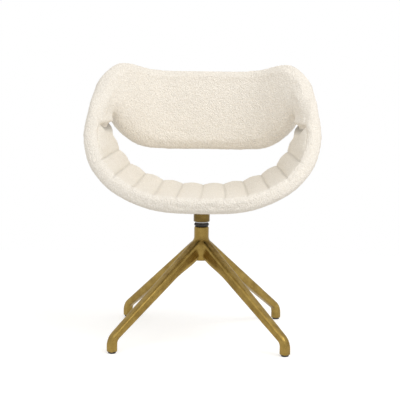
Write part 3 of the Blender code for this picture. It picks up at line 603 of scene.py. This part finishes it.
def sewn_in(mesh, run_out):
    """Pull the surface in along the seams, and mark them and the pocket under the lip for painted shade: a
    seam partly for its thread, the pocket for the shade under the lip.
    """
    points = points_of(mesh)
    close = seam_closeness(points, run_out)
    set_points(mesh, points - normals_of(mesh) * close[:, None] * SEAM_DEPTH)
    fold_shade_share = close * SEAM_THREAD_AND_SHADE
    if not run_out:
        above, behind, inside = lip_places(mesh)
        # The pocket under the lip is painted darker: painted shade, for the shade that the lip casts.
        fold_shade_share = np.maximum(fold_shade_share, pocket_share(above, behind) * inside)
    mesh.attributes.new("seam", "FLOAT", "POINT").data.foreach_set("value", fold_shade_share)
    return mesh


def make_boucle_shell():
    """Cover, rolled rim and back in one skin of boucle over foam, with the moulded core inside it."""
    cages = [rounded(solid_cage(node)) for node in ("outer_cover", "back_pad")]
    core = settled(solid_cage("shell_core"), ("DISPLACE", {"strength": CORE_LIFT, "mid_level": 0.0}))
    skin = settled(joined([*cages, core]),
                   ("REMESH", {"mode": "VOXEL", "voxel_size": FOAM_GRAIN}),
                   ("SMOOTH", {"factor": 0.5, "iterations": 6}))
    outer_skin(skin)
    fill_hollows(skin, nearness(points_of(skin), CORNER, CORNER_REACH), CORNER_ROUNDS)
    roll_lip(skin)
    padded_out(skin, SHELL_SWELL, np.zeros(len(skin.vertices)))
    cover = sewn_in(nubbed(skin, NUB, NUB_HEIGHT), SEAM_RUN_OUT)
    piece = add_piece("boucle_shell", cover, "seat", boucle, "ivory_boucle_cover", "outer_cover", "back_pad")


def make_channelled_seat():
    """The seat's pad, sewn in channels that run from the slot edge to the front roll."""
    skin = settled(rounded(solid_cage("seat_pad")),
                   ("REMESH", {"mode": "VOXEL", "voxel_size": SEAT_GRAIN}),
                   ("SMOOTH", {"factor": 0.5, "iterations": 4}))
    outer_skin(skin)
    fill_hollows(skin, nearness(points_of(skin), ARM_PANEL, ARM_PANEL_REACH), ARM_PANEL_ROUNDS)
    shape_arm_ends(skin)
    above, _, _ = lip_places(skin)
    arm_end = eased(ARM_HOLD_STEEP * (1 + above / ARM_FILL_REACH))
    padded_out(skin, SEAT_SWELL, np.maximum(seam_closeness(points_of(skin), 0), arm_end))
    pad = sewn_in(nubbed(skin, SEAT_NUB, SEAT_NUB_HEIGHT), 0)
    piece = add_piece("channelled_seat", pad, "seat", fine_boucle, "ivory_boucle_seat", "seat_pad")


def make_cast_base():
    """Neck, legs and feet in one casting, with gussets under the legs and wide fillets where they meet."""
    cast = settled(solid_cage("star_base"),
                   ("REMESH", {"mode": "VOXEL", "voxel_size": CAST_GRAIN}),
                   ("SMOOTH", {"factor": 0.5, "iterations": 6}))
    outer_skin(cast)
    points = points_of(cast)
    out = np.hypot(points[:, 0], points[:, 1])
    beside = np.abs(np.abs(points[:, 0]) - np.abs(points[:, 1])) / math.sqrt(2)
    depth = np.clip((LEG_TOP - LEG_SLOPE * out - points[:, 2]) / LEG_HEIGHT, 0, 1)
    root = eased((GUSSET_END - out) / (GUSSET_END - GUSSET_START))
    root *= eased((out - GUSSET_START) / GUSSET_EASE + 1)
    points[:, 2] -= GUSSET_DEPTH * root * depth ** 2 * eased((LEG_HALF_WIDTH - beside) / LEG_EDGE + 1)
    set_points(cast, points)
    outside = eased((out - BORE_RADIUS) / BORE_WALL)
    fill_hollows(cast, nearness(points, HUB, HUB_REACH) * outside, HUB_ROUNDS)
    add_piece("cast_base", cast, "base", brass, "brushed_brass", "star_base")


def dress_solids():
    """Each solid that still shows takes its finish by its material slot, the sleeve a darker brass as painted
    shade under the seat.
    """
    slots = {part["node"]: part["material_slot"] for part in frame["record"]["subparts"]}
    for node, solid in frame["nodes"].items():
        if slots[node] in finishes:
            for held in solid.material_slots:
                # The sleeve's darker brass is painted shade from the seat above it.
                held.material = shaded_sleeve_brass if node == "column_sleeve" else finishes[slots[node]]


# Floor, light and camera

def background_rays(tree):
    """1 for rays that show the background itself: from the camera, in a gloss or through glass."""
    rays = add(tree, "ShaderNodeLightPath").outputs
    seen = add(tree, "ShaderNodeMath", {0: rays["Is Camera Ray"], 1: rays["Is Glossy Ray"]},
               operation="MAXIMUM")
    return add(tree, "ShaderNodeMath", {0: seen.outputs[0], 1: rays["Is Transmission Ray"]},
               operation="MAXIMUM").outputs[0]


def make_floor():
    bm = bmesh.new()
    bmesh.ops.create_grid(bm, x_segments=1, y_segments=1, size=FLOOR_HALF)
    mesh = bpy.data.meshes.new("floor")
    bm.to_mesh(mesh)
    bm.free()
    floor = bpy.data.objects.new("floor", mesh)
    scene.collection.objects.link(floor)
    finish, tree = new_finish("white_floor")
    matt = add(tree, "ShaderNodeBsdfPrincipled", {"Base Color": linear("#e8e7e5"), "Roughness": 0.9})
    lift = add(tree, "ShaderNodeMath", {0: background_rays(tree), 1: FLOOR_LIFT}, operation="MULTIPLY")
    glow = add(tree, "ShaderNodeEmission", {"Strength": lift.outputs[0]})
    close_finish(tree, add(tree, "ShaderNodeAddShader", {0: matt.outputs[0], 1: glow.outputs[0]}))
    mesh.materials.append(finish)


def make_light():
    world = bpy.data.worlds.new("studio")
    scene.world = world
    world.use_nodes = True
    tree = world.node_tree
    tree.nodes.clear()
    soft = add(tree, "ShaderNodeBackground", {"Color": linear("#ffffff"), "Strength": SOFT_LIGHT})
    white = add(tree, "ShaderNodeBackground", {"Color": linear("#ffffff"), "Strength": 1.0})
    both = add(tree, "ShaderNodeMixShader",
               {0: background_rays(tree), 1: soft.outputs[0], 2: white.outputs[0]})
    add(tree, "ShaderNodeOutputWorld", {"Surface": both.outputs[0]})
    for name, place, power in LAMPS:
        lamp = bpy.data.lights.new(name, "AREA")
        lamp.size = LAMP_SIZE
        lamp.energy = power
        held = bpy.data.objects.new(name, lamp)
        held.location = place
        held.rotation_euler = (Vector(LAMP_AIM) - Vector(place)).to_track_quat("-Z", "Y").to_euler()
        scene.collection.objects.link(held)


def make_camera():
    """Placed as the photograph was taken: 2.96 m away, as high as the back, a little to the chair's left."""
    azimuth, height, distance = math.radians(1.1), 0.702, 2.960
    pitch, yaw, roll = math.radians(5.68), math.radians(0.11), math.radians(0.75)
    lens = bpy.data.cameras.new("camera")
    lens.sensor_width = 36
    lens.lens = 90
    camera = bpy.data.objects.new("camera", lens)
    scene.collection.objects.link(camera)
    camera.location = (distance * math.sin(azimuth), -distance * math.cos(azimuth), height)
    facing = Vector((-math.sin(yaw + azimuth) * math.cos(pitch), math.cos(yaw + azimuth) * math.cos(pitch),
                     -math.sin(pitch)))
    turn = facing.to_track_quat("-Z", "Y").to_matrix() @ Matrix.Rotation(roll, 3, "Z")
    camera.rotation_euler = turn.to_euler()
    scene.camera = camera


make_boucle_shell()
make_channelled_seat()
make_cast_base()
dress_solids()
make_floor()
make_light()
make_camera()
scene.view_settings.view_transform = "Standard"
